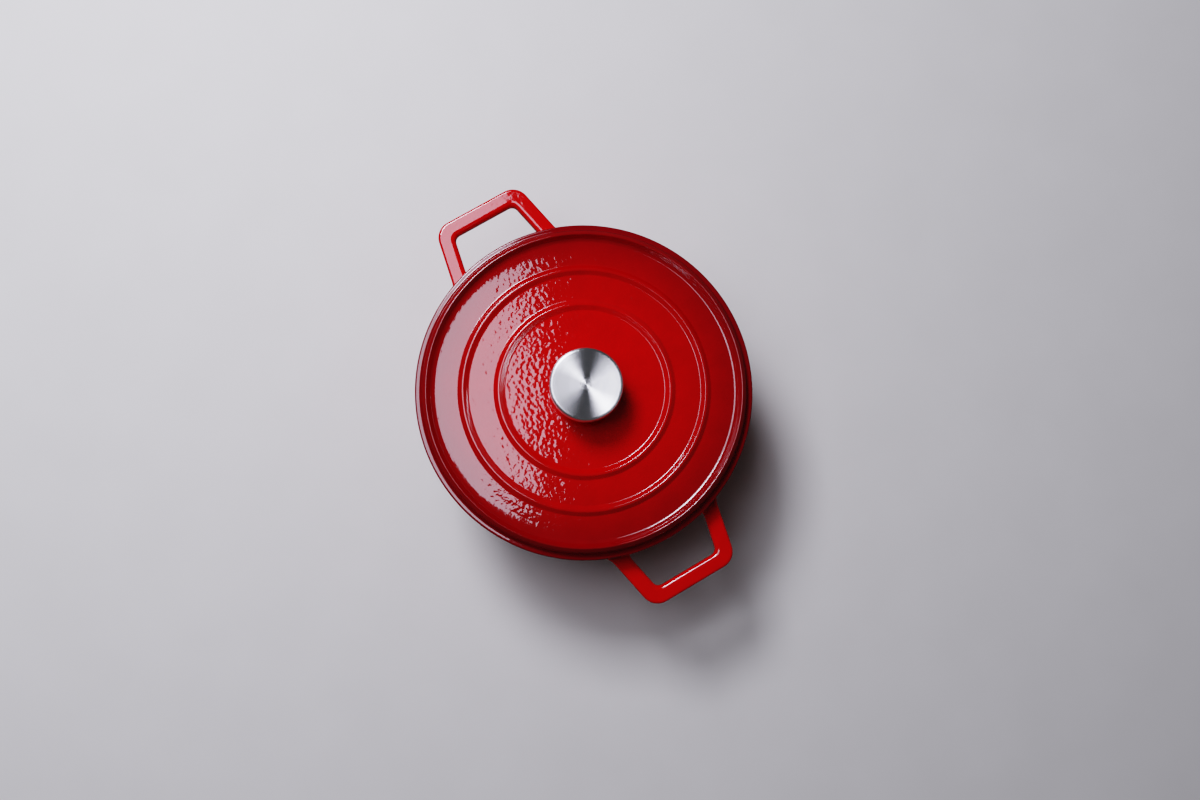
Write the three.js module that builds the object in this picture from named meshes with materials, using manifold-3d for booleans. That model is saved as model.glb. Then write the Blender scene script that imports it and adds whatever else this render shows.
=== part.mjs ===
// Enamelled cast iron dutch oven, 24 cm class, with its lid closed.
// Millimetres, +Z up. The origin is the middle of the footprint, on the surface that the pot stands on.
// The two loop handles, cast with the pot, point along +X and -X.

import * as THREE from 'three';
import { mergeVertices } from 'three/addons/utils/BufferGeometryUtils.js';
import Module from 'manifold-3d';

const manifold = await Module();
manifold.setup();

// ---- Driving dimensions ----

const SEGMENTS_LARGE = 64; // facets round the two castings
const SEGMENTS_SMALL = 40; // facets round the knob and the fasteners
const GAP = 0.2; // between stacked pieces

// Pot
const RIM_Z = 110; // top of the pot's rim
const MOUTH_R = 118.4; // inside of the rim
const RIM_OUTER_R = 124.6;
const RIM_BAND = 5.5; // height of the thick band under the rim
const WALL = 3.8; // side and floor
const WALL_TOP_R = 122.3; // outside of the wall, just under the rim band
const WALL_FOOT_R = 117.5; // outside of the wall, where the base corner starts
const BASE_CORNER_R = 26;
const FOOT_HEIGHT = 1.5; // the foot ring that the pot stands on
const FOOT_INNER_R = 84;
const FOOT_OUTER_R = 92;

// Loop handles
const SPAN_HALF = 168.6; // axis to the outside of the grip bar
const HANDLE_TOP_Z = 98;
const HANDLE_THICKNESS = 11;
const BAR_WIDTH = 12.5;
const BAR_HALF_LENGTH = 36.5; // to the sharp corner, before it is rounded
const LEG_SPLAY = THREE.MathUtils.degToRad(11.8);
const HANDLE_ROUND = 3; // rounding along the top and bottom edges

// Lid
const FLANGE_TOP_Z = 115;
const FLANGE_R = 127.5;
const LID_WALL = 3.8;
const LID_TOP_Z = 120.6; // at the axis
const ANNULUS_Z = 118.9; // at the inside of the outer ridge
const RIDGE_FOOT_R = 112.4;
const RIDGE_CREST_R = 118.6;
const RIDGE_CREST_Z = 123.8;
const RIDGE_OUTER_R = 123.3;
const RINGS = [
  { inner: 59.6, crest: 64.6, outer: 68.6 },
  { inner: 86.8, crest: 91.4, outer: 95.4 },
];
const RING_HEIGHT = 2.3;
const SKIRT_OUTER_R = 117;
const SKIRT_WIDTH = 3.6;
const SKIRT_DEPTH = 5; // below the rim
const BOSS_R = 14; // thick pad round the screw hole, under the lid
const BOSS_BOTTOM_Z = 114.9;
const NUB_CIRCLES = [
  { r: 38, count: 6 },
  { r: 66, count: 8 },
  { r: 94, count: 10 },
];
const NUB_R = 3.4;
const NUB_HEIGHT = 2.2;

// Knob
const KNOB_R = 26.9;
const KNOB_TOP_Z = 150.5;
const KNOB_BEVEL = 1.2;
const KNOB_SIDE_BOTTOM_Z = 139.4;
const SHELL = 1.5;
const NECK_R = 10.5;
const FOOT_R = 15;
const GASKET_R = 13.8;
const GASKET_THICKNESS = 1;
const INSERT_R = 7;

// Screw, M6 with 1 mm pitch
const SCREW_R = 3;
const THREAD_CLEARANCE = 0.05;
const SCREW_LENGTH = 25;
const HEAD_R = 6;
const HEAD_HEIGHT = 3.8;
const HOLE_R = 3.5;
const WASHER_THICKNESS = 1.6;
const WASHER_R = 9;
const LOCK_WASHER_R = 5.7;
const LOCK_WASHER_SPLIT = THREE.MathUtils.degToRad(14);

// ---- Geometry helpers ----

const at = (r, z) => new THREE.Vector2(r, z);

// Points on a circular arc, from angle a to angle b in degrees.
function arc(r, z, radius, a, b, steps) {
  return Array.from({ length: steps + 1 }, (_, i) => {
    const angle = THREE.MathUtils.degToRad(a + ((b - a) * i) / steps);
    return at(r + radius * Math.cos(angle), z + radius * Math.sin(angle));
  });
}

// A polygon with each corner rounded to its own radius. A corner is [x, y, radius].
function roundedLoop(corners, steps = 5) {
  const points = [];
  corners.forEach(([x, y, radius], i) => {
    const corner = at(x, y);
    if (!radius) {
      points.push(corner);
      return;
    }
    const before = at(...corners[(i + corners.length - 1) % corners.length]).sub(corner).normalize();
    const after = at(...corners[(i + 1) % corners.length]).sub(corner).normalize();
    const half = Math.acos(before.dot(after)) / 2;
    const start = corner.clone().addScaledVector(before, radius / Math.tan(half));
    const end = corner.clone().addScaledVector(after, radius / Math.tan(half));
    const middle = before.clone().add(after).setLength(radius / Math.sin(half)).add(corner);
    for (let k = 0; k <= steps; k++) {
      const spoke = start.clone().lerp(end, k / steps).sub(middle);
      points.push(spoke.setLength(radius).add(middle));
    }
  });
  return points;
}

// Merges a geometry's shared vertices, drops its empty triangles and turns its faces outwards.
function closed(geometry) {
  const bare = geometry.clone();
  bare.deleteAttribute('normal');
  bare.deleteAttribute('uv');
  const merged = mergeVertices(bare, 1e-3);
  const position = merged.getAttribute('position');
  const corner = [0, 1, 2].map(() => new THREE.Vector3());
  const source = merged.getIndex().array;
  const faces = [];
  let volume = 0;
  for (let i = 0; i < source.length; i += 3) {
    const face = [source[i], source[i + 1], source[i + 2]];
    if (new Set(face).size < 3) continue;
    face.forEach((vertex, k) => corner[k].fromBufferAttribute(position, vertex));
    volume += corner[0].dot(corner[1].clone().cross(corner[2]));
    faces.push(face);
  }
  const outward = volume > 0 ? faces : faces.map(([a, b, c]) => [a, c, b]);
  merged.setIndex(outward.flat());
  merged.computeVertexNormals();
  return merged;
}

// A closed profile of (radius, height) points, turned about the Z axis.
function turned(profile, segments) {
  return closed(new THREE.LatheGeometry(profile, segments).rotateX(Math.PI / 2));
}

// The same for a piece with a hole through its middle: the profile is closed on itself.
const turnedRing = (profile, segments) => turned([...profile, profile[0]], segments);

function toManifold(geometry) {
  const vertProperties = Float32Array.from(geometry.getAttribute('position').array);
  const triVerts = Uint32Array.from(geometry.getIndex().array);
  return new manifold.Manifold(new manifold.Mesh({ numProp: 3, vertProperties, triVerts }));
}

function fromManifold(solid) {
  const mesh = solid.getMesh();
  const geometry = new THREE.BufferGeometry();
  geometry.setAttribute('position', new THREE.BufferAttribute(mesh.vertProperties, 3));
  geometry.setIndex(new THREE.BufferAttribute(mesh.triVerts, 1));
  geometry.computeVertexNormals();
  return geometry;
}

// ---- Pot: body and loop handles in one casting ----

// Outside radius of the pot's wall at height z, between the base corner and the rim band.
function wallOuterR(z) {
  const low = FOOT_HEIGHT + BASE_CORNER_R;
  const high = RIM_Z - RIM_BAND;
  return THREE.MathUtils.mapLinear(z, low, high, WALL_FOOT_R, WALL_TOP_R);
}

function potShell() {
  const corner = at(WALL_FOOT_R - BASE_CORNER_R, FOOT_HEIGHT + BASE_CORNER_R);
  const bandZ = RIM_Z - RIM_BAND;
  const floorZ = FOOT_HEIGHT + WALL;
  return turned([
    at(0, FOOT_HEIGHT),
    at(FOOT_INNER_R - 1, FOOT_HEIGHT),
    at(FOOT_INNER_R, 0),
    at(FOOT_OUTER_R - 1, 0),
    at(FOOT_OUTER_R, FOOT_HEIGHT),
    ...arc(corner.x, corner.y, BASE_CORNER_R, -80, 0, 7),
    at(wallOuterR(bandZ - 2), bandZ - 2),
    at(RIM_OUTER_R, bandZ),
    ...arc(RIM_OUTER_R - 0.9, RIM_Z - 0.9, 0.9, 0, 90, 2),
    at(MOUTH_R + 0.8, RIM_Z),
    at(MOUTH_R, RIM_Z - 0.8),
    at(wallOuterR(bandZ - 2) - WALL, bandZ - 2),
    ...arc(corner.x, corner.y, BASE_CORNER_R - WALL, 0, -90, 7),
    at(0, floorZ),
  ], SEGMENTS_LARGE);
}

// One trapezoidal loop, pointing along +X, with its roots reaching into the pot's wall.
function loopHandle() {
  const splay = Math.tan(LEG_SPLAY);
  const legHalf = (x) => BAR_HALF_LENGTH + (SPAN_HALF - x) * splay;
  const holeHalf = (x) => legHalf(x) - BAR_WIDTH / Math.cos(LEG_SPLAY);
  const rootX = 118.5;
  const barInnerX = SPAN_HALF - BAR_WIDTH;
  const outline = [
    [104, -60.5, 0],
    [110, -56, 0],
    [rootX, -legHalf(rootX), 8],
    [SPAN_HALF, -BAR_HALF_LENGTH, 12],
    [SPAN_HALF, BAR_HALF_LENGTH, 12],
    [rootX, legHalf(rootX), 8],
    [110, 56, 0],
    [104, 60.5, 0],
  ];
  const hole = [
    [barInnerX, -holeHalf(barInnerX), 7],
    [barInnerX, holeHalf(barInnerX), 7],
    [rootX, holeHalf(rootX), 7],
    [rootX, -holeHalf(rootX), 7],
  ];
  const shape = new THREE.Shape(roundedLoop(outline));
  shape.holes.push(new THREE.Path(roundedLoop(hole)));
  const loop = new THREE.ExtrudeGeometry(shape, {
    depth: HANDLE_THICKNESS - 2 * HANDLE_ROUND,
    bevelThickness: HANDLE_ROUND,
    bevelSize: HANDLE_ROUND,
    bevelOffset: -HANDLE_ROUND,
    bevelSegments: 3,
    curveSegments: 1,
  });
  return closed(loop.translate(0, 0, HANDLE_TOP_Z - HANDLE_THICKNESS + HANDLE_ROUND));
}

// Everything inside the middle of the pot's wall, which the handles' roots must not reach.
function potCore() {
  const low = HANDLE_TOP_Z - 2 * HANDLE_THICKNESS;
  const high = HANDLE_TOP_Z + HANDLE_THICKNESS / 2;
  const core = [
    at(0, low),
    at(wallOuterR(low) - WALL / 2, low),
    at(wallOuterR(high) - WALL / 2, high),
    at(0, high),
  ];
  return turned(core, SEGMENTS_LARGE);
}

function potBody() {
  const right = toManifold(loopHandle()).subtract(toManifold(potCore()));
  const left = right.rotate([0, 0, 180]);
  return fromManifold(toManifold(potShell()).add(right).add(left));
}

// ---- Lid ----

// Height of the lid's upper face, before its rings are added.
const lidTopZ = (r) => LID_TOP_Z - (LID_TOP_Z - ANNULUS_Z) * (r / RIDGE_FOOT_R) ** 2;

// A raised ring, as a rounded hump between its two feet.
function ringProfile({ inner, crest, outer }) {
  const height = lidTopZ(crest) + RING_HEIGHT;
  return [
    at(inner, lidTopZ(inner)),
    at(THREE.MathUtils.lerp(inner, crest, 0.72), height - 0.35),
    at(crest, height),
    at(THREE.MathUtils.lerp(crest, outer, 0.3), height - 0.3),
    at(outer, lidTopZ(outer)),
  ];
}

function lidPlate() {
  const flangeZ = RIM_Z + 0.3;
  const skirtZ = RIM_Z - SKIRT_DEPTH;
  const skirtInnerR = SKIRT_OUTER_R - SKIRT_WIDTH;
  const edge = 1.3;
  return turnedRing([
    at(HOLE_R, LID_TOP_Z),
    at(FOOT_R, LID_TOP_Z),
    ...RINGS.flatMap(ringProfile),
    at(RIDGE_FOOT_R, ANNULUS_Z),
    at(RIDGE_FOOT_R + 2.2, ANNULUS_Z + 0.7),
    at(RIDGE_CREST_R - 1, RIDGE_CREST_Z - 0.4),
    at(RIDGE_CREST_R, RIDGE_CREST_Z),
    at(RIDGE_CREST_R + 0.9, RIDGE_CREST_Z - 0.7),
    at(RIDGE_OUTER_R - 0.8, FLANGE_TOP_Z + 0.9),
    at(RIDGE_OUTER_R + 0.3, FLANGE_TOP_Z),
    ...arc(FLANGE_R - edge, FLANGE_TOP_Z - edge, edge, 90, 0, 3),
    ...arc(FLANGE_R - edge, flangeZ + edge, edge, 0, -90, 2),
    at(SKIRT_OUTER_R, flangeZ),
    at(SKIRT_OUTER_R - 0.6, skirtZ + 0.6),
    at(SKIRT_OUTER_R - 1.2, skirtZ),
    at(skirtInnerR + 0.6, skirtZ),
    at(skirtInnerR, skirtZ + 0.6),
    at(skirtInnerR - 0.6, ANNULUS_Z - LID_WALL - 2),
    at(skirtInnerR - 3, ANNULUS_Z - LID_WALL),
    at(BOSS_R + 3, LID_TOP_Z - LID_WALL),
    at(BOSS_R, BOSS_BOTTOM_Z),
    at(HOLE_R, BOSS_BOTTOM_Z),
  ], SEGMENTS_LARGE);
}

// A low domed nub, pointing down, whose top is buried in the lid.
function nub(x, y) {
  const topZ = lidTopZ(Math.hypot(x, y)) - LID_WALL;
  const profile = [
    at(0, topZ + 1),
    at(NUB_R, topZ + 1),
    at(NUB_R, topZ - 0.2),
    at(NUB_R * 0.6, topZ - NUB_HEIGHT * 0.8),
    at(0, topZ - NUB_HEIGHT),
  ];
  return toManifold(turned(profile, 8).translate(x, y, 0));
}

function lid() {
  let solid = toManifold(lidPlate());
  for (const { r, count } of NUB_CIRCLES) {
    for (let i = 0; i < count; i++) {
      const angle = (2 * Math.PI * (i + 0.5)) / count;
      solid = solid.add(nub(r * Math.cos(angle), r * Math.sin(angle)));
    }
  }
  return fromManifold(solid);
}

// ---- Knob ----

const GASKET_Z = LID_TOP_Z + GAP;
const BASE_Z = GASKET_Z + GASKET_THICKNESS + GAP;
const INSERT_Z = BASE_Z + SHELL + GAP;
const CAP_UNDERSIDE_Z = KNOB_TOP_Z - SHELL;
const WASHER_Z = BOSS_BOTTOM_Z - GAP - WASHER_THICKNESS;
const LOCK_WASHER_Z = WASHER_Z - GAP - WASHER_THICKNESS;
const HEAD_TOP_Z = LOCK_WASHER_Z - GAP;
const SCREW_TIP_Z = HEAD_TOP_Z + SCREW_LENGTH;

function knobCap() {
  const innerR = KNOB_R - SHELL * 0.8;
  return turned([
    at(0, KNOB_TOP_Z),
    at(KNOB_R - KNOB_BEVEL, KNOB_TOP_Z),
    at(KNOB_R - 0.3, KNOB_TOP_Z - KNOB_BEVEL + 0.4),
    at(KNOB_R, KNOB_TOP_Z - KNOB_BEVEL - 0.3),
    at(KNOB_R, KNOB_SIDE_BOTTOM_Z + 0.7),
    at(KNOB_R - 0.6, KNOB_SIDE_BOTTOM_Z),
    at(innerR, KNOB_SIDE_BOTTOM_Z + 0.3),
    at(innerR, CAP_UNDERSIDE_Z),
    at(0, CAP_UNDERSIDE_Z),
  ], SEGMENTS_SMALL);
}

// A trumpet: a foot on the gasket, a neck, and a wide mouth that closes the cap from below.
function knobBase() {
  const mouthR = KNOB_R - SHELL * 0.8 - 0.3;
  const mouthZ = KNOB_SIDE_BOTTOM_Z + 0.4;
  const flareR = mouthR - NECK_R;
  const flareHeight = mouthZ - BASE_Z - 6.4;
  const flarePoint = (p) => at(mouthR + flareR * p.x, mouthZ + flareHeight * (p.y - 1));
  const flare = arc(0, 0, 1, 180, 98, 5).map(flarePoint);
  const inside = flare.slice(1).reverse().map((p) => at(p.x - SHELL * 0.5, p.y + SHELL));
  const socketR = INSERT_R + 0.3;
  return turnedRing([
    at(HOLE_R, BASE_Z),
    at(FOOT_R - 0.6, BASE_Z),
    at(FOOT_R, BASE_Z + 0.6),
    at(FOOT_R - 0.5, BASE_Z + 1.6),
    at(NECK_R + 0.9, BASE_Z + 3.6),
    ...flare,
    at(mouthR, mouthZ + SHELL * 0.6),
    ...inside,
    at(socketR, inside.at(-1).y),
    at(socketR, BASE_Z + SHELL),
    at(HOLE_R, BASE_Z + SHELL),
  ], SEGMENTS_SMALL);
}

function knobInsert() {
  const boreR = SCREW_R + THREAD_CLEARANCE;
  const boreTopZ = SCREW_TIP_Z + 2;
  return turned([
    at(0, CAP_UNDERSIDE_Z - GAP),
    at(INSERT_R, CAP_UNDERSIDE_Z - GAP),
    at(INSERT_R, INSERT_Z),
    at(boreR, INSERT_Z),
    at(boreR, boreTopZ),
    at(0, boreTopZ + 1.5),
  ], SEGMENTS_SMALL);
}

// A flat ring between two radii, standing on height z.
function flatRing(innerR, outerR, z, thickness) {
  const section = [at(innerR, z), at(outerR, z), at(outerR, z + thickness), at(innerR, z + thickness)];
  return turnedRing(section, SEGMENTS_SMALL);
}

// ---- Screw and washers ----

// A spring washer: a ring with a narrow split.
function lockWasher() {
  const innerR = SCREW_R + 0.15;
  const half = LOCK_WASHER_SPLIT / 2;
  const shape = new THREE.Shape();
  shape.absarc(0, 0, LOCK_WASHER_R, half, 2 * Math.PI - half, false);
  shape.absarc(0, 0, innerR, 2 * Math.PI - half, half, true);
  const ring = new THREE.ExtrudeGeometry(shape, {
    depth: WASHER_THICKNESS,
    bevelEnabled: false,
    curveSegments: SEGMENTS_SMALL / 2,
  });
  return closed(ring.translate(0, 0, LOCK_WASHER_Z));
}

// A pan head with a cross recess in its underside, and a plain shank for the thread.
function knobScrew() {
  const bottomZ = HEAD_TOP_Z - HEAD_HEIGHT;
  const body = turned([
    at(0, bottomZ),
    at(HEAD_R - 2.2, bottomZ),
    at(HEAD_R - 0.7, bottomZ + 1),
    at(HEAD_R, bottomZ + 2.4),
    at(HEAD_R, HEAD_TOP_Z),
    at(SCREW_R, HEAD_TOP_Z),
    at(SCREW_R, SCREW_TIP_Z - 0.8),
    at(SCREW_R - 0.8, SCREW_TIP_Z),
    at(0, SCREW_TIP_Z),
  ], SEGMENTS_SMALL);
  const slot = new THREE.BoxGeometry(6.4, 1.3, 4).translate(0, 0, bottomZ);
  const recess = toManifold(closed(slot)).add(toManifold(closed(slot.clone().rotateZ(Math.PI / 2))));
  return fromManifold(toManifold(body).subtract(recess));
}

// ---- Assembly ----

const enamel = new THREE.MeshStandardMaterial({ color: 0xb80008, roughness: 0.12, metalness: 0 });
const stainless = new THREE.MeshStandardMaterial({ color: 0xc4c6c8, roughness: 0.3, metalness: 1 });
const steel = new THREE.MeshStandardMaterial({ color: 0xa8aaac, roughness: 0.35, metalness: 1 });
const silicone = new THREE.MeshStandardMaterial({ color: 0x2a2a2c, roughness: 0.7, metalness: 0 });

const oven = new THREE.Group();

function addPiece(name, geometry, material) {
  const mesh = new THREE.Mesh(geometry, material.clone());
  mesh.name = name;
  oven.add(mesh);
}

addPiece('pot_body', potBody(), enamel);
addPiece('lid', lid(), enamel);
addPiece('knob_gasket', flatRing(HOLE_R, GASKET_R, GASKET_Z, GASKET_THICKNESS), silicone);
addPiece('knob_base', knobBase(), stainless);
addPiece('knob_insert', knobInsert(), steel);
addPiece('knob_cap', knobCap(), stainless);
addPiece('flat_washer', flatRing(SCREW_R + 0.3, WASHER_R, WASHER_Z, WASHER_THICKNESS), steel);
addPiece('lock_washer', lockWasher(), steel);
addPiece('knob_screw', knobScrew(), steel);

export default oven;
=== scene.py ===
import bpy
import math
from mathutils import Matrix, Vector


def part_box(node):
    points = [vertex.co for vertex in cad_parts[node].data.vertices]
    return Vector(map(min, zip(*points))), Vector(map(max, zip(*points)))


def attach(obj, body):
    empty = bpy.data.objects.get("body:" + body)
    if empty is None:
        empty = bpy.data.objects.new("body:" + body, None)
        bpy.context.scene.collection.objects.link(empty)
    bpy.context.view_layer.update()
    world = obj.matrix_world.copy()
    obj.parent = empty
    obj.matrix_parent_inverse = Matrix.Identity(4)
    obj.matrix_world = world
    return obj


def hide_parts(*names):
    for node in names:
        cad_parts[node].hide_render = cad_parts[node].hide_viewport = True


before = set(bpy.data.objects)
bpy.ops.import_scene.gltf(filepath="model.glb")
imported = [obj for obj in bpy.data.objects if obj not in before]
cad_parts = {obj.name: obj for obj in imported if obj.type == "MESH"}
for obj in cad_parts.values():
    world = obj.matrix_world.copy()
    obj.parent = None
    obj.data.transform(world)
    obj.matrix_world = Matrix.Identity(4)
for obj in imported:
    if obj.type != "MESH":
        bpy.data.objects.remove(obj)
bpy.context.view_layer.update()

# Enamelled cast iron dutch oven, 24 cm class, lid closed. Lengths are millimetres in the part's frame, and MM
# turns them into Blender's metres: +Z up, loop handles along X, origin on the surface under the pot. Only the
# last section, which has the floor, the lights and the camera, is in metres.

MM = 0.001
NEARLY_ZERO = 1e-6


def corner(node, side):
    """A CAD node's lowest (side 0) or highest (side 1) corner, in millimetres."""
    return [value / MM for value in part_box(node)[side]]


# ---- Sizes taken from the frame, and two gaps that it leaves ----

GASKET_GAP = 0.2
RIM_GAP = 0.3
RIM_Z = corner("pot_body", 1)[2]
RIM_R = corner("pot_body", 1)[1]
HANDLE_X = corner("pot_body", 1)[0]
FLANGE_R = corner("lid", 1)[1]
CREST_Z = corner("lid", 1)[2]
SKIRT_Z = corner("lid", 0)[2]
LID_Z = corner("knob_gasket", 0)[2] - GASKET_GAP
KNOB_R = corner("knob_cap", 1)[1]
KNOB_TOP_Z = corner("knob_cap", 1)[2]
KNOB_SIDE_Z = corner("knob_cap", 0)[2]
KNOB_BASE_Z = corner("knob_base", 0)[2]
HEAD_R = corner("knob_screw", 1)[1]
HEAD_Z = corner("knob_screw", 0)[2]
SCREW_TIP_Z = corner("knob_screw", 1)[2]
FLANGE_UNDERSIDE_Z = RIM_Z + RIM_GAP

# ---- Sizes the frame doesn't hold ----

FLANGE_Z = 115
FLANGE_ROUND = 1.4
ANNULUS_Z = 118.9
RIDGE_FOOT_R = 112.4
RIDGE_CREST_R = 118.6
RIDGE_OUTER_R = 123.3
RINGS = ((59.6, 64.6, 68.6), (86.8, 91.4, 95.4))  # inner foot, crest and outer foot of each
RING_HEIGHT = 2.3
RING_FOOT_ROUND = 1.8
RING_CREST_ROUND = 1.3
LID_WALL = 3.8
SKIRT_R = 117
SKIRT_WIDTH = 3.6
SKIRT_TAPER = 0.7
SKIRT_ROUND = 1.2
BOSS_R = 14
BOSS_Z = 114.9
HOLE_R = 3.5
NUB_CIRCLES = ((38, 6), (66, 8), (94, 10))  # radius of each circle and how many nubs are on it
NUB_R = 3.4
NUB_HEIGHT = 2.2
NUB_FILLET = 0.7
NUB_ROOT = 1.2  # how far a nub reaches into the lid

MOUTH_R = 118.4
MOUTH_TAPER = 0.3
RIM_BAND = 5.5
BAND_STEP = 2.2  # height of the slope from the wall out to the band round the rim
WALL = 3.8
WALL_TOP_R = 122.3
WALL_FOOT_R = 117.5
BASE_CORNER_R = 26
FOOT_HEIGHT = 1.5
FLOOR_Z = FOOT_HEIGHT + WALL
FOOT_INNER_R = (83, 84.2)  # the foot ring's inner side: at the base, and where it stands
FOOT_OUTER_R = (92.4, 91.2)

HANDLE_TOP_Z = 98
HANDLE_THICKNESS = 11
BAR_WIDTH = 12.5
BAR_HALF = 36.5
LEG_SPLAY = math.radians(11.8)
LEG_END_X = 108.5  # inside the pot, where the rest of a leg is cut away
LOOP_OUTER_ROUND = 13.5
LOOP_INNER_ROUND = 5.5
LEG_STEPS, BEND_STEPS, BAR_STEPS = 40, 14, 12
ROOT_FILLET = 12
ROOT_SWELL_UP = 0.3  # share of a root's swelling that goes up and down too
CORE_LOW_Z, CORE_HIGH_Z = 70, 104  # the space inside the wall that is cut out of the legs

CAP_WALL = 1.2
CAP_TOP = 2.2
CAP_ROUND = 2.2
CAP_DISH = 1.2
CAP_FLAT = 2  # width of the level edge round the dish
CAP_GROOVE = ((3.3, 0), (3.6, 0.3), (4.0, 0.3), (4.3, 0))  # radius and depth
NECK_R = 10.5
KNOB_FOOT_R = 15
KNOB_FOOT_HEIGHT = 1.3
NECK_HEIGHT = 6.4  # from the knob's underside to the narrowest place
FLARE_TURN = 82  # degrees of the ellipse that the flare follows
FLARE_STEPS = 24
TRUMPET_WALL = (0.75, 1.5)  # across and up
TRUMPET_FLOOR = 1.5
SOCKET_R = 7.3

SCREW_R = 3
HEAD_HEIGHT = 3.8
BORE_CLEARANCE = 0.05
BORE_SPARE = 2  # how far the bore goes on past the screw's tip
THREAD_PITCH = 1
THREAD_DEPTH = 0.55
PLAIN_SHANK = 3
RECESS_DEPTH = 2.0
RECESS_HALF_LONG = 3.2
RECESS_HALF_WIDE = 0.65
RECESS_TAPER = 0.75  # size of the recess at its bottom against its mouth
WASHER_CLEARANCE = 0.3
SPLIT_HALF_ANGLE = math.radians(7)
SPLIT_RING_HEIGHT = 0.82  # height of the split ring's wire against the washer's

AROUND = 288  # facets round the castings
AROUND_KNOB = 160
AROUND_RINGS = 128
AROUND_BOSS = 96
AROUND_SCREW = 64
AROUND_NUB = 28
SHARP = 40  # edges over this many degrees stay sharp
SHARP_SCREW = 50


# ---- Mesh helpers ----


def rounded(corners, longest=5.0, step=7.5, support=0.3):
    """Points along an open or closed profile of (r, z, radius) corners, each rounded to its radius.
    Straight runs have a point close to each end, so that smooth shading stays flat on them."""
    closed = len(corners) > 3 and tuple(corners[0]) == tuple(corners[-1])
    ring = corners[:-1] if closed else corners
    parts = []
    for i, (x, y, *rest) in enumerate(ring):
        radius = rest[0] if rest else 0
        here = Vector((x, y))
        if radius == 0 or (not closed and i in (0, len(ring) - 1)):
            parts.append([here])
            continue
        before = (Vector(ring[i - 1][:2]) - here).normalized()
        after = (Vector(ring[(i + 1) % len(ring)][:2]) - here).normalized()
        half = before.angle(after) / 2
        reach = radius / math.tan(half)
        middle = here + (before + after).normalized() * (radius / math.sin(half))
        start, end = here + before * reach - middle, here + after * reach - middle
        turn = start.angle_signed(end)
        steps = max(2, math.ceil(abs(math.degrees(turn)) / step))
        parts.append([middle + Matrix.Rotation(-turn * k / steps, 2) @ start for k in range(steps + 1)])
    points = []
    for i, part in enumerate(parts):
        points.extend(part)
        if not closed and i == len(parts) - 1:
            break
        a, b = part[-1], parts[(i + 1) % len(parts)][0]
        length = (b - a).length
        if length < 2.5 * support:
            continue
        cuts = max(1, math.ceil((length - 2 * support) / longest))
        for k in range(cuts + 1):
            points.append(a.lerp(b, (support + (length - 2 * support) * k / cuts) / length))
    if closed:
        points.append(points[0])
    return points


def add_object(name, data):
    added = bpy.data.objects.new(name, data)
    bpy.context.scene.collection.objects.link(added)
    return added


def mesh_object(name, points, faces, materials, indices=None, sharp=SHARP):
    """An object in metres from points in millimetres, smooth but for its edges over sharp degrees."""
    mesh = bpy.data.meshes.new(name)
    mesh.from_pydata([tuple(c * MM for c in p) for p in points], [], faces)
    for material in materials:
        mesh.materials.append(material)
    if indices is not None:
        mesh.polygons.foreach_set("material_index", indices)
    finish_mesh(mesh, sharp)
    return add_object(name, mesh)


def finish_mesh(mesh, sharp=SHARP):
    """Checks a mesh and sets its shading."""
    mesh.validate()
    mesh.polygons.foreach_set("use_smooth", [True] * len(mesh.polygons))
    mesh.set_sharp_from_angle(angle=math.radians(sharp))
    mesh.update()


def lathe(name, profile, around, materials, zones=None, wobble=None, sharp=SHARP):
    """Turns an (r, z) profile about Z. zones gives a face's material index from its profile point, and
    wobble changes a point's radius by its angle and height."""
    closed = (profile[0] - profile[-1]).length < NEARLY_ZERO
    rows = profile[:-1] if closed else profile
    points, first = [], []
    for r, z in rows:
        first.append(len(points))
        if r < NEARLY_ZERO:
            points.append((0, 0, z))
            continue
        for k in range(around):
            angle = 2 * math.pi * k / around
            radius = r + wobble(r, z, angle) if wobble else r
            points.append((radius * math.cos(angle), radius * math.sin(angle), z))
    faces, indices = [], []
    count = len(rows)
    for i in range(count if closed else count - 1):
        j = (i + 1) % count
        zone = zones(rows[i], rows[j]) if zones else 0
        axis_i, axis_j = rows[i][0] < NEARLY_ZERO, rows[j][0] < NEARLY_ZERO
        if axis_i and axis_j:
            continue
        for k in range(around):
            n = (k + 1) % around
            a, b = first[i] + (0 if axis_i else k), first[i] + (0 if axis_i else n)
            c, d = first[j] + (0 if axis_j else n), first[j] + (0 if axis_j else k)
            faces.append(list(dict.fromkeys((a, b, c, d))))
            indices.append(zone)
    piece = mesh_object(name, points, faces, materials, indices, sharp)
    face_outwards(piece)
    return piece


def face_outwards(piece):
    """Turns the faces of a closed mesh outwards."""
    mesh = piece.data
    mesh.calc_loop_triangles()
    volume = 0.0
    for triangle in mesh.loop_triangles:
        a, b, c = (mesh.vertices[v].co for v in triangle.vertices)
        volume += a.dot(b.cross(c))
    if volume < 0:
        mesh.flip_normals()


def combine(target, tool, operation="UNION", sharp=SHARP):
    """Joins tool to target, or cuts it away, and deletes tool."""
    change = target.modifiers.new("combine", "BOOLEAN")
    change.operation = operation
    change.solver = "MANIFOLD"
    change.object = tool
    bpy.context.view_layer.update()
    graph = bpy.context.evaluated_depsgraph_get()
    result = bpy.data.meshes.new_from_object(target.evaluated_get(graph), depsgraph=graph)
    old = target.data
    target.modifiers.remove(change)
    target.data = result
    result.name = old.name
    bpy.data.meshes.remove(old)
    bpy.data.objects.remove(tool)
    finish_mesh(result, sharp)


def place(piece, body, slot, *nodes):
    """Puts a piece on its body in place of the CAD nodes, which it hides. The slot argument is not used."""
    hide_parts(*nodes)
    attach(piece, body)


# ---- Material helpers ----


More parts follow.
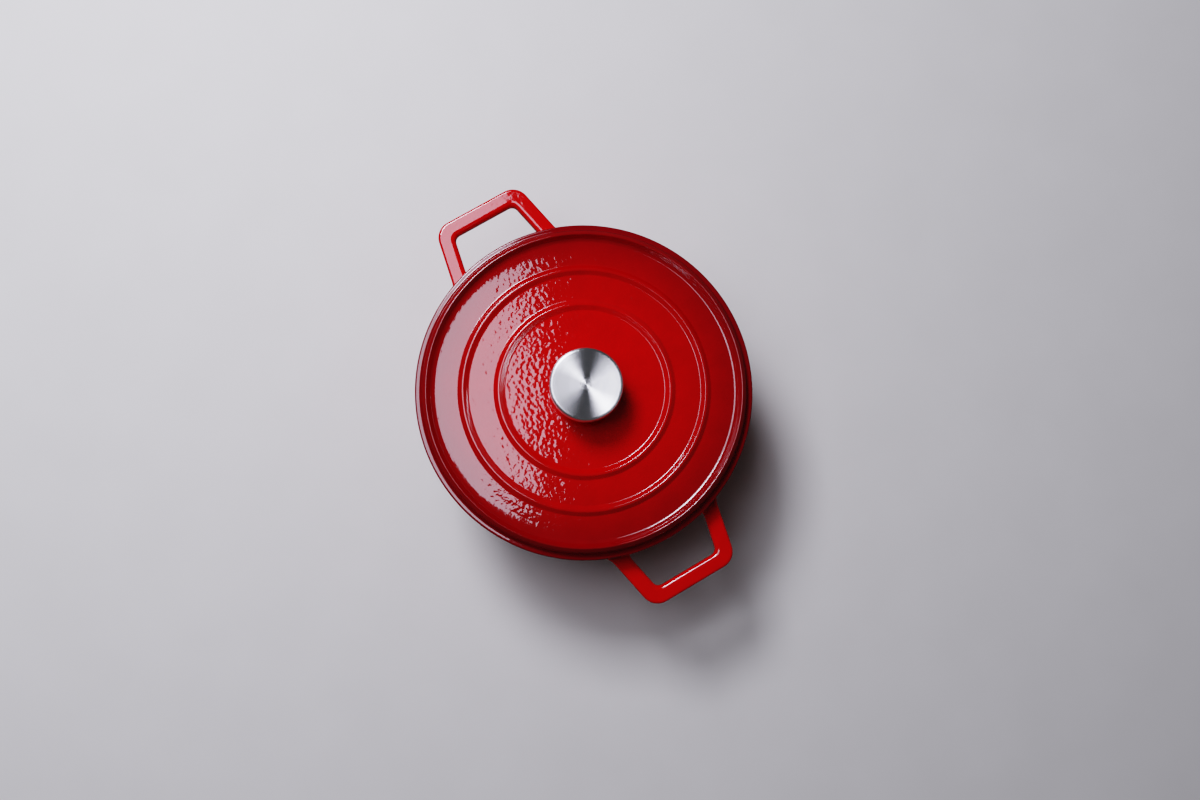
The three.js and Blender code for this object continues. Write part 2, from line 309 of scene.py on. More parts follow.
class Nodes:
    """A new material with a few short calls for its nodes."""

    def __init__(self, name, colour, roughness, metallic=0.0):
        self.material = bpy.data.materials.new(name)
        self.material.use_nodes = True
        self.tree = self.material.node_tree
        self.shader = self.tree.nodes["Principled BSDF"]
        self.shader.inputs["Base Color"].default_value = (*colour, 1)
        self.shader.inputs["Roughness"].default_value = roughness
        self.shader.inputs["Metallic"].default_value = metallic
        self.where = self.add("ShaderNodeTexCoord").outputs["Object"]

    def add(self, kind, **settings):
        node = self.tree.nodes.new(kind)
        for key, value in settings.items():
            setattr(node, key, value)
        return node

    def link(self, output, socket):
        self.tree.links.new(output, socket)

    def math(self, operation, a, b=0.0):
        node = self.add("ShaderNodeMath", operation=operation)
        for socket, value in zip(node.inputs, (a, b)):
            if isinstance(value, (int, float)):
                socket.default_value = value
            else:
                self.link(value, socket)
        return node.outputs[0]

    def scaled(self, value, factor, offset):
        """value times factor, plus offset."""
        return self.math("ADD", self.math("MULTIPLY", value, factor), offset)

    def axis(self, name):
        """The X, Y or Z of a point on the object, in metres."""
        node = self.add("ShaderNodeSeparateXYZ")
        self.link(self.where, node.inputs[0])
        return node.outputs[name]

    def radius(self):
        """Distance from the Z axis, in metres."""
        x, y = self.axis("X"), self.axis("Y")
        squares = self.math("ADD", self.math("MULTIPLY", x, x), self.math("MULTIPLY", y, y))
        return self.math("SQRT", squares)

    def noise(self, size, detail=2.0, roughness=0.5, vector=None):
        """Noise whose features are about size millimetres across."""
        node = self.add("ShaderNodeTexNoise")
        node.inputs["Scale"].default_value = 1 / (size * MM)
        node.inputs["Detail"].default_value = detail
        node.inputs["Roughness"].default_value = roughness
        self.link(vector or self.where, node.inputs["Vector"])
        return node.outputs["Fac"]

    def waves(self, size, height, detail, roughness=0.5):
        """Noise that swings either side of zero, height millimetres from its lowest to its highest."""
        swing = self.math("SUBTRACT", self.noise(size, detail, roughness), 0.5)
        return self.math("MULTIPLY", swing, height)

    def ramp(self, value, stops):
        """A colour or a grey for value, from stops of (position, colour or grey)."""
        node = self.add("ShaderNodeValToRGB")
        while len(node.color_ramp.elements) < len(stops):
            node.color_ramp.elements.new(0.5)
        for element, (position, colour) in zip(node.color_ramp.elements, stops):
            element.position = position
            element.color = (*(colour if isinstance(colour, tuple) else (colour,) * 3), 1)
        self.link(value, node.inputs["Fac"])
        return node.outputs["Color"]

    def mix(self, amount, a, b, blend="MIX"):
        node = self.add("ShaderNodeMix", data_type="RGBA", blend_type=blend)
        for name, value in (("Factor", amount), ("A", a), ("B", b)):
            socket = node.inputs[name]
            if isinstance(value, (int, float)):
                socket.default_value = value
            elif isinstance(value, tuple):
                socket.default_value = (*value, 1)
            else:
                self.link(value, socket)
        return node.outputs["Result"]

    def bump(self, height, depth):
        """A bump of depth millimetres for a height of 1."""
        node = self.add("ShaderNodeBump")
        node.inputs["Distance"].default_value = depth * MM
        self.link(height, node.inputs["Height"])
        return node.outputs["Normal"]

    def set(self, name, value):
        """Gives the shader's socket a number, or links a node's output to it."""
        if isinstance(value, (int, float)):
            self.shader.inputs[name].default_value = value
        else:
            self.link(value, self.shader.inputs[name])


ENAMEL_BRIGHT = (0.63, 0.0012, 0.0015)
ENAMEL_DEEP = (0.21, 0.0006, 0.004)
CREAM_PALE = (0.72, 0.60, 0.42)
CREAM_SPECK = (0.52, 0.40, 0.25)

# Across, then height or depth, in millimetres.
PEEL_SIZE, PEEL_HEIGHT = 3.1, 0.16
SLOW_SIZE, SLOW_HEIGHT = 15, 0.13
PIT_SPACING, PIT_DEPTH = 16, 0.04
MOTTLE_SIZE = 14
PIT_COLOUR = (0.03, 0.002, 0.003)


def glaze(nodes, colour, waviness=1.0, calm=None):
    """The glassy surface of vitreous enamel over colour: orange peel, slow waves and a few tiny pits.
    calm, from 0 to 1, scales the waves down where it is low."""
    shade = nodes.ramp(nodes.noise(MOTTLE_SIZE, detail=3), ((0.3, 0.93), (0.7, 1.04)))
    cloud = nodes.mix(1.0, colour, shade, "MULTIPLY")
    pits = nodes.add("ShaderNodeTexVoronoi")
    pits.inputs["Scale"].default_value = 1 / (PIT_SPACING * MM)
    nodes.link(nodes.where, pits.inputs["Vector"])
    pit = nodes.ramp(pits.outputs["Distance"], ((0.0, 1.0), (0.022, 0.0)))
    nodes.set("Base Color", nodes.mix(pit, cloud, PIT_COLOUR))
    nodes.set("Roughness", nodes.scaled(nodes.noise(6, detail=3), 0.05, 0.04))
    peel = nodes.waves(PEEL_SIZE, PEEL_HEIGHT * waviness, detail=0.8, roughness=0.4)
    slow = nodes.waves(SLOW_SIZE, SLOW_HEIGHT * waviness, detail=1)
    waves = nodes.math("ADD", peel, slow)
    if calm is not None:
        waves = nodes.math("MULTIPLY", waves, calm)
    height = nodes.math("SUBTRACT", waves, nodes.math("MULTIPLY", pit, PIT_DEPTH))
    normal = nodes.bump(height, 1.0)
    nodes.set("Normal", normal)
    nodes.set("Coat Weight", 1.0)
    nodes.set("Coat Roughness", 0.02)
    nodes.set("Coat Normal", normal)
    return nodes.material


def lid_enamel():
    """Red that deepens towards the rim, in step with the rings."""
    nodes = Nodes("red_enamel_lid", ENAMEL_BRIGHT, 0.08)
    reach = nodes.math("DIVIDE", nodes.radius(), FLANGE_R * MM)
    colour = nodes.ramp(reach, (
        (0.0, ENAMEL_BRIGHT),
        (0.46, (0.57, 0.0012, 0.0015)),
        (0.52, (0.53, 0.0012, 0.0015)),
        (0.70, (0.47, 0.0012, 0.0018)),
        (0.76, (0.38, 0.001, 0.002)),
        (0.88, (0.29, 0.001, 0.003)),
        (0.93, (0.25, 0.001, 0.003)),
        (0.975, ENAMEL_DEEP),
    ))
    # The glaze runs smoother over the rings and up to the ridge: (radius, how much of the waves is left).
    calm = [(0.0, 1.0)]
    for inner, _, outer in RINGS:
        calm += [(inner - 1, 1.0), (inner + 0.8, 0.12), (outer - 0.5, 0.12), (outer + 1.5, 1.0)]
    calm += [(RIDGE_FOOT_R - 10, 1.0), (RIDGE_FOOT_R - 3, 0.3), (RIDGE_FOOT_R + 1, 0.1)]
    mask = nodes.ramp(reach, [(r / FLANGE_R, level) for r, level in calm])
    return glaze(nodes, colour, calm=mask)


def pot_enamel():
    """Bright red at the handles and the rim, deeper towards the base."""
    nodes = Nodes("red_enamel_pot", ENAMEL_BRIGHT, 0.08)
    height = nodes.math("DIVIDE", nodes.axis("Z"), RIM_Z * MM)
    colour = nodes.ramp(height, (
        (0.0, ENAMEL_DEEP),
        (0.25, (0.34, 0.001, 0.003)),
        (0.7, ENAMEL_BRIGHT),
        (1.0, ENAMEL_BRIGHT),
    ))
    return glaze(nodes, colour, waviness=0.3)


def cream_enamel():
    """The pale, slightly speckled inside."""
    nodes = Nodes("cream_enamel", CREAM_PALE, 0.12)
    specks = nodes.noise(1.6, detail=4, roughness=0.7)
    colour = nodes.ramp(specks, ((0.60, CREAM_PALE), (0.72, CREAM_SPECK)))
    return glaze(nodes, colour, waviness=0.8)


def rim_enamel():
    """The matt dark ground coat that is left bare where the lid sits."""
    nodes = Nodes("dark_ground_coat", (0.02, 0.019, 0.019), 0.55)
    grain = nodes.noise(0.8, detail=4, roughness=0.6)
    nodes.set("Base Color", nodes.ramp(grain, ((0.35, 0.012), (0.7, 0.045))))
    nodes.set("Roughness", nodes.scaled(nodes.noise(3), 0.25, 0.38))
    nodes.set("Normal", nodes.bump(grain, depth=0.05))
    return nodes.material


def turned_steel():
    """Stainless steel with fine concentric turning marks: the highlights fan out from the middle."""
    nodes = Nodes("turned_stainless", (0.60, 0.605, 0.61), 0.3, metallic=1.0)
    radius = nodes.radius()
    rings = nodes.add("ShaderNodeCombineXYZ")
    nodes.link(radius, rings.inputs["X"])
    nodes.link(nodes.axis("Z"), rings.inputs["Z"])
    lines = nodes.noise(0.09, roughness=0.6, vector=rings.outputs[0])
    broad = nodes.noise(1.2, detail=3, roughness=0.6, vector=rings.outputs[0])
    nodes.set("Base Color", nodes.ramp(broad, ((0.3, (0.87, 0.875, 0.88)), (0.7, (0.95, 0.95, 0.95)))))
    # A rougher spot in the middle of the knob's top.
    spot = nodes.ramp(nodes.math("DIVIDE", radius, KNOB_R * MM), ((0.125, 0.22), (0.14, 0.0)))
    nodes.set("Roughness", nodes.math("ADD", nodes.scaled(broad, 0.04, 0.23), spot))
    nodes.set("Anisotropic", 1.0)
    nodes.set("Anisotropic Rotation", 0.25)
    tangent = nodes.add("ShaderNodeTangent", direction_type="RADIAL", axis="Z")
    nodes.set("Tangent", tangent.outputs["Tangent"])
    nodes.set("Normal", nodes.bump(lines, depth=0.0007))
    return nodes.material


def plain_steel():
    """Bright plated steel of the fasteners, a little stained."""
    nodes = Nodes("plated_steel", (0.45, 0.45, 0.44), 0.32, metallic=1.0)
    stain = nodes.noise(2.2, detail=4, roughness=0.6)
    nodes.set("Base Color", nodes.ramp(stain, ((0.35, (0.36, 0.35, 0.33)), (0.65, (0.52, 0.52, 0.51)))))
    nodes.set("Roughness", nodes.scaled(nodes.noise(0.7, detail=3), 0.3, 0.2))
    nodes.set("Normal", nodes.bump(nodes.noise(0.4, detail=3), depth=0.006))
    return nodes.material


def silicone():
    """Matt black rubber with a fine grain."""
    nodes = Nodes("black_silicone", (0.022, 0.022, 0.024), 0.6)
    grain = nodes.noise(0.6, detail=3)
    nodes.set("Base Color", nodes.ramp(grain, ((0.3, 0.016), (0.7, 0.03))))
    nodes.set("Roughness", nodes.scaled(grain, 0.2, 0.5))
    nodes.set("Normal", nodes.bump(grain, depth=0.01))
    return nodes.material


LID_RED = lid_enamel()
POT_RED = pot_enamel()
CREAM = cream_enamel()
GROUND = rim_enamel()
TURNED = turned_steel()
PLATED = plain_steel()
SILICONE = silicone()


# ---- Pot ----


def wall_r(z):
    """Outside radius of the pot's wall at height z."""
    low, high = FOOT_HEIGHT + BASE_CORNER_R, RIM_Z - RIM_BAND
    return WALL_FOOT_R + (WALL_TOP_R - WALL_FOOT_R) * (z - low) / (high - low)


def pot_profile():
    """The pot's outline from under its middle, up its outside, down its inside and back to its middle."""
    band = RIM_Z - RIM_BAND
    foot_inner_top, foot_inner_tread = FOOT_INNER_R
    foot_outer_top, foot_outer_tread = FOOT_OUTER_R
    return rounded([
        (0, FOOT_HEIGHT),
        (foot_inner_top, FOOT_HEIGHT, 0.8),
        (foot_inner_tread, 0, 0.5),
        (foot_outer_tread, 0, 0.6),
        (foot_outer_top, FOOT_HEIGHT + 0.1, 0.8),
        (wall_r(FOOT_HEIGHT), FOOT_HEIGHT, BASE_CORNER_R - 1.5),  # base corner
        (wall_r(band - BAND_STEP), band - BAND_STEP, 4),
        (RIM_R, band + 0.2, 2.5),
        (RIM_R, RIM_Z, 1.1),  # rim
        (MOUTH_R, RIM_Z, 0.9),
        (MOUTH_R - MOUTH_TAPER, band - 2, 12),
        (wall_r(FLOOR_Z) - WALL, FLOOR_Z, BASE_CORNER_R - WALL),
        (0, FLOOR_Z),
    ])


def pot_zone(a, b):
    """0 red outside, 1 cream inside, 2 dark rim and foot ring."""
    r, z = (a[0] + b[0]) / 2, (a[1] + b[1]) / 2
    on_rim = z > RIM_Z - 0.5
    on_foot = z < 0.4 and r > FOOT_INNER_R[0] + 0.5
    if on_rim or on_foot:
        return 2
    # Inside or outside goes by the middle of the wall, which turns the base's corner about its centre.
    across = max(0.0, r - wall_r(z) + BASE_CORNER_R)
    down = max(0.0, FOOT_HEIGHT + BASE_CORNER_R - z)
    within_wall = math.hypot(across, down) < BASE_CORNER_R - WALL / 2
    within_mouth = z > RIM_Z - RIM_BAND and r < MOUTH_R + 0.6
    return 1 if within_wall or within_mouth else 0


def loop_edge(inset, radius):
    """The outer edge of a loop seen from above, or a line inset millimetres inside it, from end to end."""
    splay = math.tan(LEG_SPLAY)
    bar_x = HANDLE_X - inset

    def leg_y(x):
        return BAR_HALF + (HANDLE_X - x) * splay - inset / math.cos(LEG_SPLAY)

    corner_point = Vector((bar_x, leg_y(bar_x)))
    root = Vector((LEG_END_X, leg_y(LEG_END_X)))
    down_leg, along_bar = (root - corner_point).normalized(), Vector((0, -1))
    half = down_leg.angle(along_bar) / 2
    reach = radius / math.tan(half)
    middle = corner_point + (down_leg + along_bar).normalized() * (radius / math.sin(half))
    start, end = corner_point + down_leg * reach, corner_point + along_bar * reach
    turn = (start - middle).angle_signed(end - middle)
    bar_middle = Vector((bar_x, 0))
    side = [root.lerp(start, k / LEG_STEPS) for k in range(LEG_STEPS)]
    for k in range(BEND_STEPS):
        side.append(middle + Matrix.Rotation(-turn * k / BEND_STEPS, 2) @ (start - middle))
    side += [end.lerp(bar_middle, k / BAR_STEPS) for k in range(BAR_STEPS)]
    mirrored = [Vector((point.x, -point.y)) for point in side]
    return mirrored + [bar_middle] + side[::-1]


def section(half_width, half_height):
    """A loop's cross-section, across and up: a flat top, and rounder on its inner edge and underneath."""
    corners = [
        (half_width, half_height, 2.0),
        (-half_width, half_height, 3.4),
        (-half_width, -half_height, 4.2),
        (half_width, -half_height, 3.6),
        (half_width, half_height, 2.0),
    ]
    return rounded(corners, longest=1.6, step=12, support=0.25)[:-1]


def handle(sign):
    """One loop, whose section swells into the wall at both roots."""
    ring = section(BAR_WIDTH / 2, HANDLE_THICKNESS / 2)
    middle_z = HANDLE_TOP_Z - HANDLE_THICKNESS / 2
    points, faces = [], []
    path = list(zip(loop_edge(0, LOOP_OUTER_ROUND), loop_edge(BAR_WIDTH, LOOP_INNER_ROUND)))
    for outer, inner in path:
        centre, across = (outer + inner) / 2, (outer - inner) / BAR_WIDTH
        for u, v in ring:
            flat = centre + across * u
            z = middle_z + v
            clear = max(0.0, flat.length - wall_r(z))
            swell = 0.0
            if clear < ROOT_FILLET:
                swell = ROOT_FILLET - math.sqrt(ROOT_FILLET ** 2 - (ROOT_FILLET - clear) ** 2)
            size = math.hypot(u, v)
            flat = flat + across * (swell * u / size)
            z += ROOT_SWELL_UP * swell * v / size
            points.append((sign * flat.x, sign * flat.y, z))
    n = len(ring)
    for i in range(len(path) - 1):
        for k in range(n):
            m = (k + 1) % n
            faces.append((i * n + k, i * n + m, (i + 1) * n + m, (i + 1) * n + k))
    faces.append(tuple(reversed(range(n))))
    faces.append(tuple((len(path) - 1) * n + k for k in range(n)))
    loop = mesh_object("handle_loop", points, faces, [POT_RED, CREAM, GROUND])
    face_outwards(loop)
    return loop


def make_pot():
    pot = lathe("pot_casting", pot_profile(), AROUND, [POT_RED, CREAM, GROUND], pot_zone)
    core_low_r = wall_r(CORE_LOW_Z) - WALL / 2
    core_high_r = wall_r(CORE_HIGH_Z) - WALL / 2
    core_corners = ((0, CORE_LOW_Z), (core_low_r, CORE_LOW_Z), (core_high_r, CORE_HIGH_Z), (0, CORE_HIGH_Z))
    core_profile = [Vector(point) for point in core_corners]
    for sign in (1, -1):
        loop = handle(sign)
        core = lathe("handle_core", core_profile, AROUND, [POT_RED])
        combine(loop, core, "DIFFERENCE")
        combine(pot, loop)
    place(pot, "pot", "red_enamel", "pot_body")


# ---- Lid ----


def lid_z(r):
    """Height of the lid's upper face between its rings."""
    return LID_Z - (LID_Z - ANNULUS_Z) * (r / RIDGE_FOOT_R) ** 2


def lid_profile():
    """The lid's outline from its screw hole, over the rings and the ridge, and back underneath."""
    doming_r, doming_round = 30, 400
    corners = [(HOLE_R, LID_Z, 0), (doming_r, lid_z(doming_r), doming_round)]
    for inner, crest, outer in RINGS:
        top = lid_z(crest) + RING_HEIGHT
        corners += [
            (inner + 0.5, lid_z(inner), RING_FOOT_ROUND),
            (crest - 0.9, top, RING_CREST_ROUND),
            (crest + 0.5, top, RING_CREST_ROUND),
            (outer - 0.3, lid_z(outer), RING_FOOT_ROUND),
        ]
    skirt_inner = SKIRT_R - SKIRT_WIDTH
    underside = ANNULUS_Z - LID_WALL
    corners += [
        (RIDGE_FOOT_R - 4, ANNULUS_Z + 0.1, 60),  # ridge
        (RIDGE_FOOT_R + 0.8, ANNULUS_Z + 0.35, 4),
        (RIDGE_FOOT_R + 2.8, ANNULUS_Z + 1.5, 4),
        (RIDGE_CREST_R - 0.2, CREST_Z + 0.3, 1.0),
        (RIDGE_CREST_R + 2.8, CREST_Z - 2.6, 2.6),
        (RIDGE_OUTER_R, FLANGE_Z, 1.6),
        (FLANGE_R, FLANGE_Z, FLANGE_ROUND),  # flange
        (FLANGE_R, FLANGE_UNDERSIDE_Z, FLANGE_ROUND),
        (SKIRT_R, FLANGE_UNDERSIDE_Z, 0.6),  # skirt
        (SKIRT_R - SKIRT_TAPER, SKIRT_Z, SKIRT_ROUND),
        (skirt_inner + 0.2, SKIRT_Z, SKIRT_ROUND),
        (skirt_inner - 1, underside, 3.5),
        (BOSS_R + 5, LID_Z - LID_WALL, 4),  # screw boss
        (BOSS_R + 1, BOSS_Z, 1.5),
        (HOLE_R, BOSS_Z, 0.5),
        (HOLE_R, LID_Z, 0),
    ]
    return rounded(corners)


def lid_zone(a, b):
    """0 red above, 1 cream under the lid, 2 dark seat on the flange's underside and the skirt's edge."""
    r, z = (a[0] + b[0]) / 2, (a[1] + b[1]) / 2
    if r > SKIRT_R - 0.4:
        on_seat = z < FLANGE_UNDERSIDE_Z + 0.5 and r < FLANGE_R - FLANGE_ROUND
        return 2 if on_seat else 0
    if r < RIDGE_FOOT_R:
        return 1 if z < lid_z(r) - LID_WALL / 2 else 0
    return 1 if z < FLANGE_Z else 0


def nub(x, y):
    """A low dome that drips steam back, with a small fillet where it meets the lid."""
    top = lid_z(math.hypot(x, y)) - LID_WALL
    root_r = NUB_R + NUB_FILLET
    blank_r = root_r + 0.1
    profile = [Vector((0, NUB_ROOT)), Vector((blank_r, NUB_ROOT)), Vector((blank_r, -0.02))]
    steps = 10
    for k in range(steps + 1):
        t = k / steps
        drop = NUB_HEIGHT * (0.5 - 0.5 * math.cos(math.pi * t))
        profile.append(Vector((root_r * (1 - t), -drop)))
    dome = lathe("nub", profile, AROUND_NUB, [LID_RED, CREAM, GROUND], lambda a, b: 1)
    dome.data.transform(Matrix.Translation((x * MM, y * MM, top * MM)))
    return dome


def make_lid():
    cover = lathe("lid_casting", lid_profile(), AROUND, [LID_RED, CREAM, GROUND], lid_zone)
    for radius, count in NUB_CIRCLES:
        for k in range(count):
            angle = 2 * math.pi * (k + 0.5) / count
            combine(cover, nub(radius * math.cos(angle), radius * math.sin(angle)))
    place(cover, "lid", "red_enamel", "lid")


# ---- Knob ----


def turned_shell(name, corners):
    """One of the knob's steel shells, from the rounded corners of its outline."""
    return lathe(name, rounded(corners, longest=2.0, step=9, support=0.15), AROUND_KNOB, [TURNED])


def cap_top_z(r):
    """Height of the knob's dished top."""
    return KNOB_TOP_Z - CAP_DISH * max(0.0, 1 - (r / (KNOB_R - CAP_FLAT)) ** 2)


def make_cap():
    """The spun shell, with one turned groove near the middle of its top."""
    inner_r, inner_z = KNOB_R - CAP_WALL, KNOB_TOP_Z - CAP_TOP
    cap = turned_shell("knob_top_shell", [
        (0, cap_top_z(0)),
        (1.5, cap_top_z(1.5), 0),
        *[(r, cap_top_z(r) - depth, 0) for r, depth in CAP_GROOVE],
        *[(r, cap_top_z(r), 0) for r in range(6, int(KNOB_R) - CAP_FLAT, 2)],
        (KNOB_R, KNOB_TOP_Z + 0.05, CAP_ROUND),
        (KNOB_R, KNOB_SIDE_Z, 0.5),
        (inner_r, KNOB_SIDE_Z, 0.3),
        (inner_r, inner_z, 0.9),
        (0, inner_z),
    ])
    place(cap, "knob", "stainless", "knob_cap")


def make_trumpet():
    """The knob's foot and neck, which flare along part of an ellipse into the mouth that closes the cap."""
    mouth_r, mouth_z = KNOB_R - CAP_WALL - 0.3, KNOB_SIDE_Z + 0.4
    rise = mouth_z - KNOB_BASE_Z - NECK_HEIGHT
    flare = []
    for k in range(FLARE_STEPS + 1):
        angle = math.radians(180 - FLARE_TURN * k / FLARE_STEPS)
        r = mouth_r + (mouth_r - NECK_R) * math.cos(angle)
        flare.append((r, mouth_z - rise + rise * math.sin(angle)))
    wall_across, wall_up = TRUMPET_WALL
    inside = [(r - wall_across, z + wall_up) for r, z in reversed(flare[3:])]
    floor_z = KNOB_BASE_Z + TRUMPET_FLOOR
    base = turned_shell("knob_trumpet", [
        (HOLE_R, KNOB_BASE_Z),
        (KNOB_FOOT_R, KNOB_BASE_Z, 0.7),
        (KNOB_FOOT_R, KNOB_BASE_Z + KNOB_FOOT_HEIGHT, 0.7),
        (NECK_R + 2.2, KNOB_BASE_Z + 2 * KNOB_FOOT_HEIGHT, 3),
        *[(r, z, 0) for r, z in flare],
        (mouth_r, mouth_z + 0.9, 0),
        *[(r, z, 0) for r, z in inside],
        (SOCKET_R, inside[-1][1], 0),
        (SOCKET_R, floor_z, 0),
        (HOLE_R, floor_z, 0),
        (HOLE_R, KNOB_BASE_Z),
    ])
    place(base, "knob", "stainless", "knob_base")


def make_threaded_boss():
    """The steel boss inside the knob, with the blind hole that takes the screw."""
    low, high = corner("knob_insert", 0)[2], corner("knob_insert", 1)[2]
    outer_r = corner("knob_insert", 1)[1]
    bore_r, bore_z = SCREW_R + BORE_CLEARANCE, SCREW_TIP_Z + BORE_SPARE
    lead_in, drill_point = 0.4, 1.5
    profile = rounded([
        (0, high),
        (outer_r, high, 0.5),
        (outer_r, low, 0.5),
        (bore_r + lead_in, low, 0),
        (bore_r, low + lead_in, 0),
        (bore_r, bore_z, 0),
        (0, bore_z + drill_point),
    ], longest=3)
    boss = lathe("knob_threaded_boss", profile, AROUND_BOSS, [PLATED])
    place(boss, "knob", "plain_steel", "knob_insert")


# ---- Washers and screw ----


def flat_ring(name, node, inner_r, edge, material):
    """A washer that fills its CAD node's space, its edges rounded to the radius edge."""
    low, high = corner(node, 0), corner(node, 1)
    profile = rounded([
        (inner_r, low[2], edge),
        (high[1], low[2], edge),
        (high[1], high[2], edge),
        (inner_r, high[2], edge),
        (inner_r, low[2], edge),
    ], longest=2.0, support=0.1)
    return lathe(name, profile, AROUND_RINGS, [material])


def make_gasket():
    seal = flat_ring("knob_seal", "knob_gasket", HOLE_R, 0.3, SILICONE)
    place(seal, "lid", "silicone", "knob_gasket")


def make_flat_washer():
    washer = flat_ring("plain_washer", "flat_washer", SCREW_R + WASHER_CLEARANCE, 0.2, PLATED)
    place(washer, "lid", "plain_steel", "flat_washer")


def thread(r, z, angle):
    """Cuts the thread into the shank, fading out at both ends."""
    low, high = HEAD_Z + HEAD_HEIGHT + PLAIN_SHANK, SCREW_TIP_Z - 1
    if r < SCREW_R - 0.01 or z < low or z > high:
        return 0.0
    phase = (z / THREAD_PITCH - angle / (2 * math.pi)) % 1.0
    valley = 1 - abs(2 * phase - 1)
    fade = min(1.0, z - low, (high - z) / 0.5 + 0.2)
    # The cut is a V whose crest and root are left flat.
    return -THREAD_DEPTH * fade * min(1.0, max(0.0, 1.25 * valley - 0.12))


def recess_blade():
    """One bar of the cross that the driver goes into, tapering upwards into the head."""
    points = []
    for z, size in ((HEAD_Z - 1, 1), (HEAD_Z + RECESS_DEPTH, RECESS_TAPER)):
        for x, y in ((1, 1), (-1, 1), (-1, -1), (1, -1)):
            points.append((x * RECESS_HALF_LONG * size, y * RECESS_HALF_WIDE * size, z))
    faces = [(0, 1, 2, 3), (7, 6, 5, 4), (0, 4, 5, 1), (1, 5, 6, 2), (2, 6, 7, 3), (3, 7, 4, 0)]
    blade = mesh_object("driver_blade", points, faces, [PLATED])
    face_outwards(blade)
    return blade


def make_screw():
    head_top = HEAD_Z + HEAD_HEIGHT
    profile = rounded([
        (0, HEAD_Z),
        (HEAD_R - 2.6, HEAD_Z, 3),
        (HEAD_R, HEAD_Z + 2.2, 1.6),
        (HEAD_R, head_top, 0.25),
        (SCREW_R, head_top, 0.2),
    ], longest=1.2, step=9, support=0.12)[:-1]
    tip_chamfer, thread_step = 0.8, 0.1
    z = head_top
    while z < SCREW_TIP_Z - tip_chamfer - thread_step / 2:
        profile.append(Vector((SCREW_R, z)))
        z += thread_step
    profile.append(Vector((SCREW_R, SCREW_TIP_Z - tip_chamfer)))
    profile.append(Vector((SCREW_R - tip_chamfer, SCREW_TIP_Z)))
    profile.append(Vector((0, SCREW_TIP_Z)))
    screw = lathe("knob_fixing_screw", profile, AROUND_SCREW, [PLATED], wobble=thread, sharp=SHARP_SCREW)
    for turn in (0, 90):
        blade = recess_blade()
        blade.data.transform(Matrix.Rotation(math.radians(turn), 4, "Z"))
        combine(screw, blade, "DIFFERENCE", sharp=SHARP_SCREW)
    place(screw, "screw", "plain_steel", "knob_screw")


def make_lock_washer():
    """A split ring, its two ends sprung slightly apart in height."""
    low, high = corner("lock_washer", 0), corner("lock_washer", 1)
    inner_r, outer_r = SCREW_R + WASHER_CLEARANCE / 2, high[1]
    thickness = high[2] - low[2]
    wire_h = thickness * SPLIT_RING_HEIGHT
    ring = rounded([
        (inner_r, 0, 0.2),
        (outer_r, 0, 0.2),
        (outer_r, wire_h, 0.2),
        (inner_r, wire_h, 0.2),
        (inner_r, 0, 0.2),
    ], longest=0.9, step=15, support=0.08)[:-1]
    steps, n = 120, len(ring)
    points, faces = [], []
    for k in range(steps + 1):
        t = k / steps
        angle = SPLIT_HALF_ANGLE + (2 * math.pi - 2 * SPLIT_HALF_ANGLE) * t
        lift = low[2] + (thickness - wire_h) * t
        for r, z in ring:
            points.append((r * math.cos(angle), r * math.sin(angle), z + lift))
    for k in range(steps):
        for i in range(n):
            j = (i + 1) % n
            faces.append((k * n + i, k * n + j, (k + 1) * n + j, (k + 1) * n + i))
    faces.append(tuple(reversed(range(n))))
    faces.append(tuple(steps * n + i for i in range(n)))
    washer = mesh_object("spring_washer", points, faces, [PLATED])
    face_outwards(washer)
    place(washer, "screw", "plain_steel", "lock_washer")


make_pot()
make_lid()
make_cap()
make_trumpet()
make_threaded_boss()
make_gasket()
make_flat_washer()
make_screw()
make_lock_washer()


# ---- Floor, light and camera, in metres ----

FLOOR_HALF = 60.0
FLOOR_DROP = 0.0002  # keeps the floor clear of the pot's foot
GLOW_REACH = 5.0

SKY_COLOUR = (0.95, 0.97, 1.0)
FILL = 0.035  # how bright the sky is on matt surfaces
ROOM = 0.04  # in reflections
BACKDROP = 0.7  # and behind the scene

# The picture's own axes: x to its right and y up it. The loop handles lie at an angle in it.
PICTURE_TURN = Matrix.Rotation(math.radians(62.9), 4, "Z")
CAMERA_PLACE = (-0.032, -0.101, 0.953)
CAMERA_TURNS = ((-3.11, "Z"), (-2.59, "Y"), (6.46, "X"))
CAMERA_LENS = 33.6


def make_floor():
    """A pale floor that glows a little more further off, where the lights don't reach it."""
    around = ((-1, -1), (1, -1), (1, 1), (-1, 1))
    mesh = bpy.data.meshes.new("floor")
    mesh.from_pydata([(x * FLOOR_HALF, y * FLOOR_HALF, -FLOOR_DROP) for x, y in around], [], [(0, 1, 2, 3)])
    paint = Nodes("pale_floor", (0.78, 0.775, 0.765), 0.6)
    clouds = paint.noise(60, detail=3)
    paint.set("Base Color", paint.ramp(clouds, ((0.3, (0.765, 0.745, 0.70)), (0.7, (0.79, 0.77, 0.725)))))
    distance = paint.math("DIVIDE", paint.radius(), GLOW_REACH)
    paint.shader.inputs["Emission Color"].default_value = (*SKY_COLOUR, 1)
    paint.set("Emission Strength", paint.ramp(distance, ((0.15, 0.0), (0.3, 0.35), (0.8, 0.62))))
    mesh.materials.append(paint.material)
    floor = add_object("floor", mesh)
    floor.visible_glossy = False


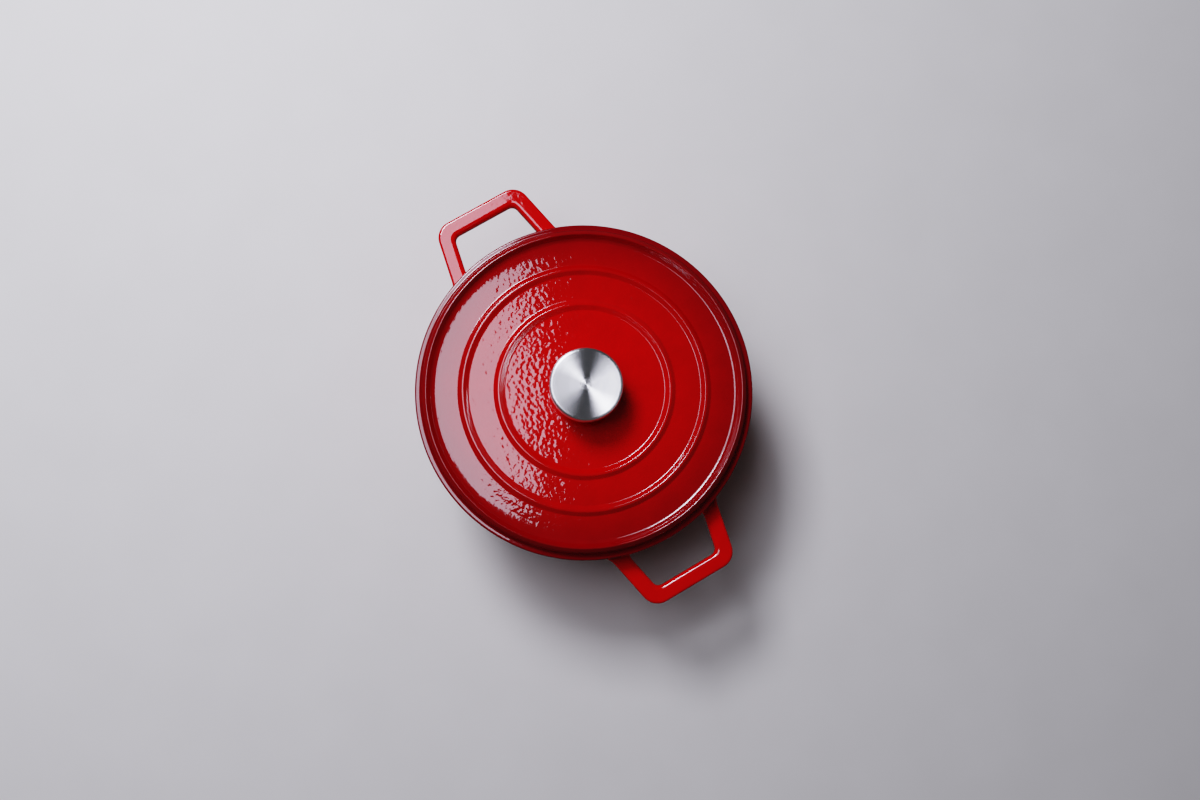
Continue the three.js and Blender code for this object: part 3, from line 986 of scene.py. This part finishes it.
def softbox(name, low, high, height, power, colour):
    """A level light panel between two corners, given on the picture's axes."""
    light = bpy.data.lights.new(name, "AREA")
    light.shape = "RECTANGLE"
    light.size, light.size_y = high[0] - low[0], high[1] - low[1]
    light.energy = power
    light.color = colour
    lamp = add_object(name, light)
    lamp.visible_camera = False
    middle = ((low[0] + high[0]) / 2, (low[1] + high[1]) / 2, height)
    lamp.matrix_world = PICTURE_TURN @ Matrix.Translation(middle)


def make_camera():
    camera = bpy.data.cameras.new("camera")
    camera.lens = CAMERA_LENS
    camera.clip_start = 0.01
    holder = add_object("camera", camera)
    view = PICTURE_TURN @ Matrix.Translation(CAMERA_PLACE)
    for degrees, axis in CAMERA_TURNS:
        view = view @ Matrix.Rotation(math.radians(degrees), 4, axis)
    holder.matrix_world = view
    bpy.context.scene.camera = holder


def make_surroundings():
    """A pale backdrop for the camera, soft fill for matt surfaces and a dim room in reflections."""
    world = bpy.data.worlds.new("studio")
    world.use_nodes = True
    tree = world.node_tree
    sky = tree.nodes["Background"]
    sky.inputs["Color"].default_value = (*SKY_COLOUR, 1)
    path = tree.nodes.new("ShaderNodeLightPath")
    in_reflections = tree.nodes.new("ShaderNodeMix")
    in_reflections.inputs["A"].default_value = FILL
    in_reflections.inputs["B"].default_value = ROOM
    tree.links.new(path.outputs["Is Glossy Ray"], in_reflections.inputs["Factor"])
    for_camera = tree.nodes.new("ShaderNodeMix")
    for_camera.inputs["B"].default_value = BACKDROP
    tree.links.new(path.outputs["Is Camera Ray"], for_camera.inputs["Factor"])
    tree.links.new(in_reflections.outputs["Result"], for_camera.inputs["A"])
    tree.links.new(for_camera.outputs["Result"], sky.inputs["Strength"])
    bpy.context.scene.world = world


make_floor()
softbox("key_panel", low=(-0.85, -0.12), high=(-0.08, 1.2), height=1.4, power=11.6, colour=(0.85, 0.85, 1.0))
softbox("key_core", low=(-0.78, 0.6), high=(-0.28, 1.2), height=1.38, power=20.5, colour=(0.85, 0.86, 1.0))
make_camera()
make_surroundings()
bpy.context.scene.view_settings.view_transform = "Filmic"
bpy.context.scene.view_settings.look = "High Contrast"
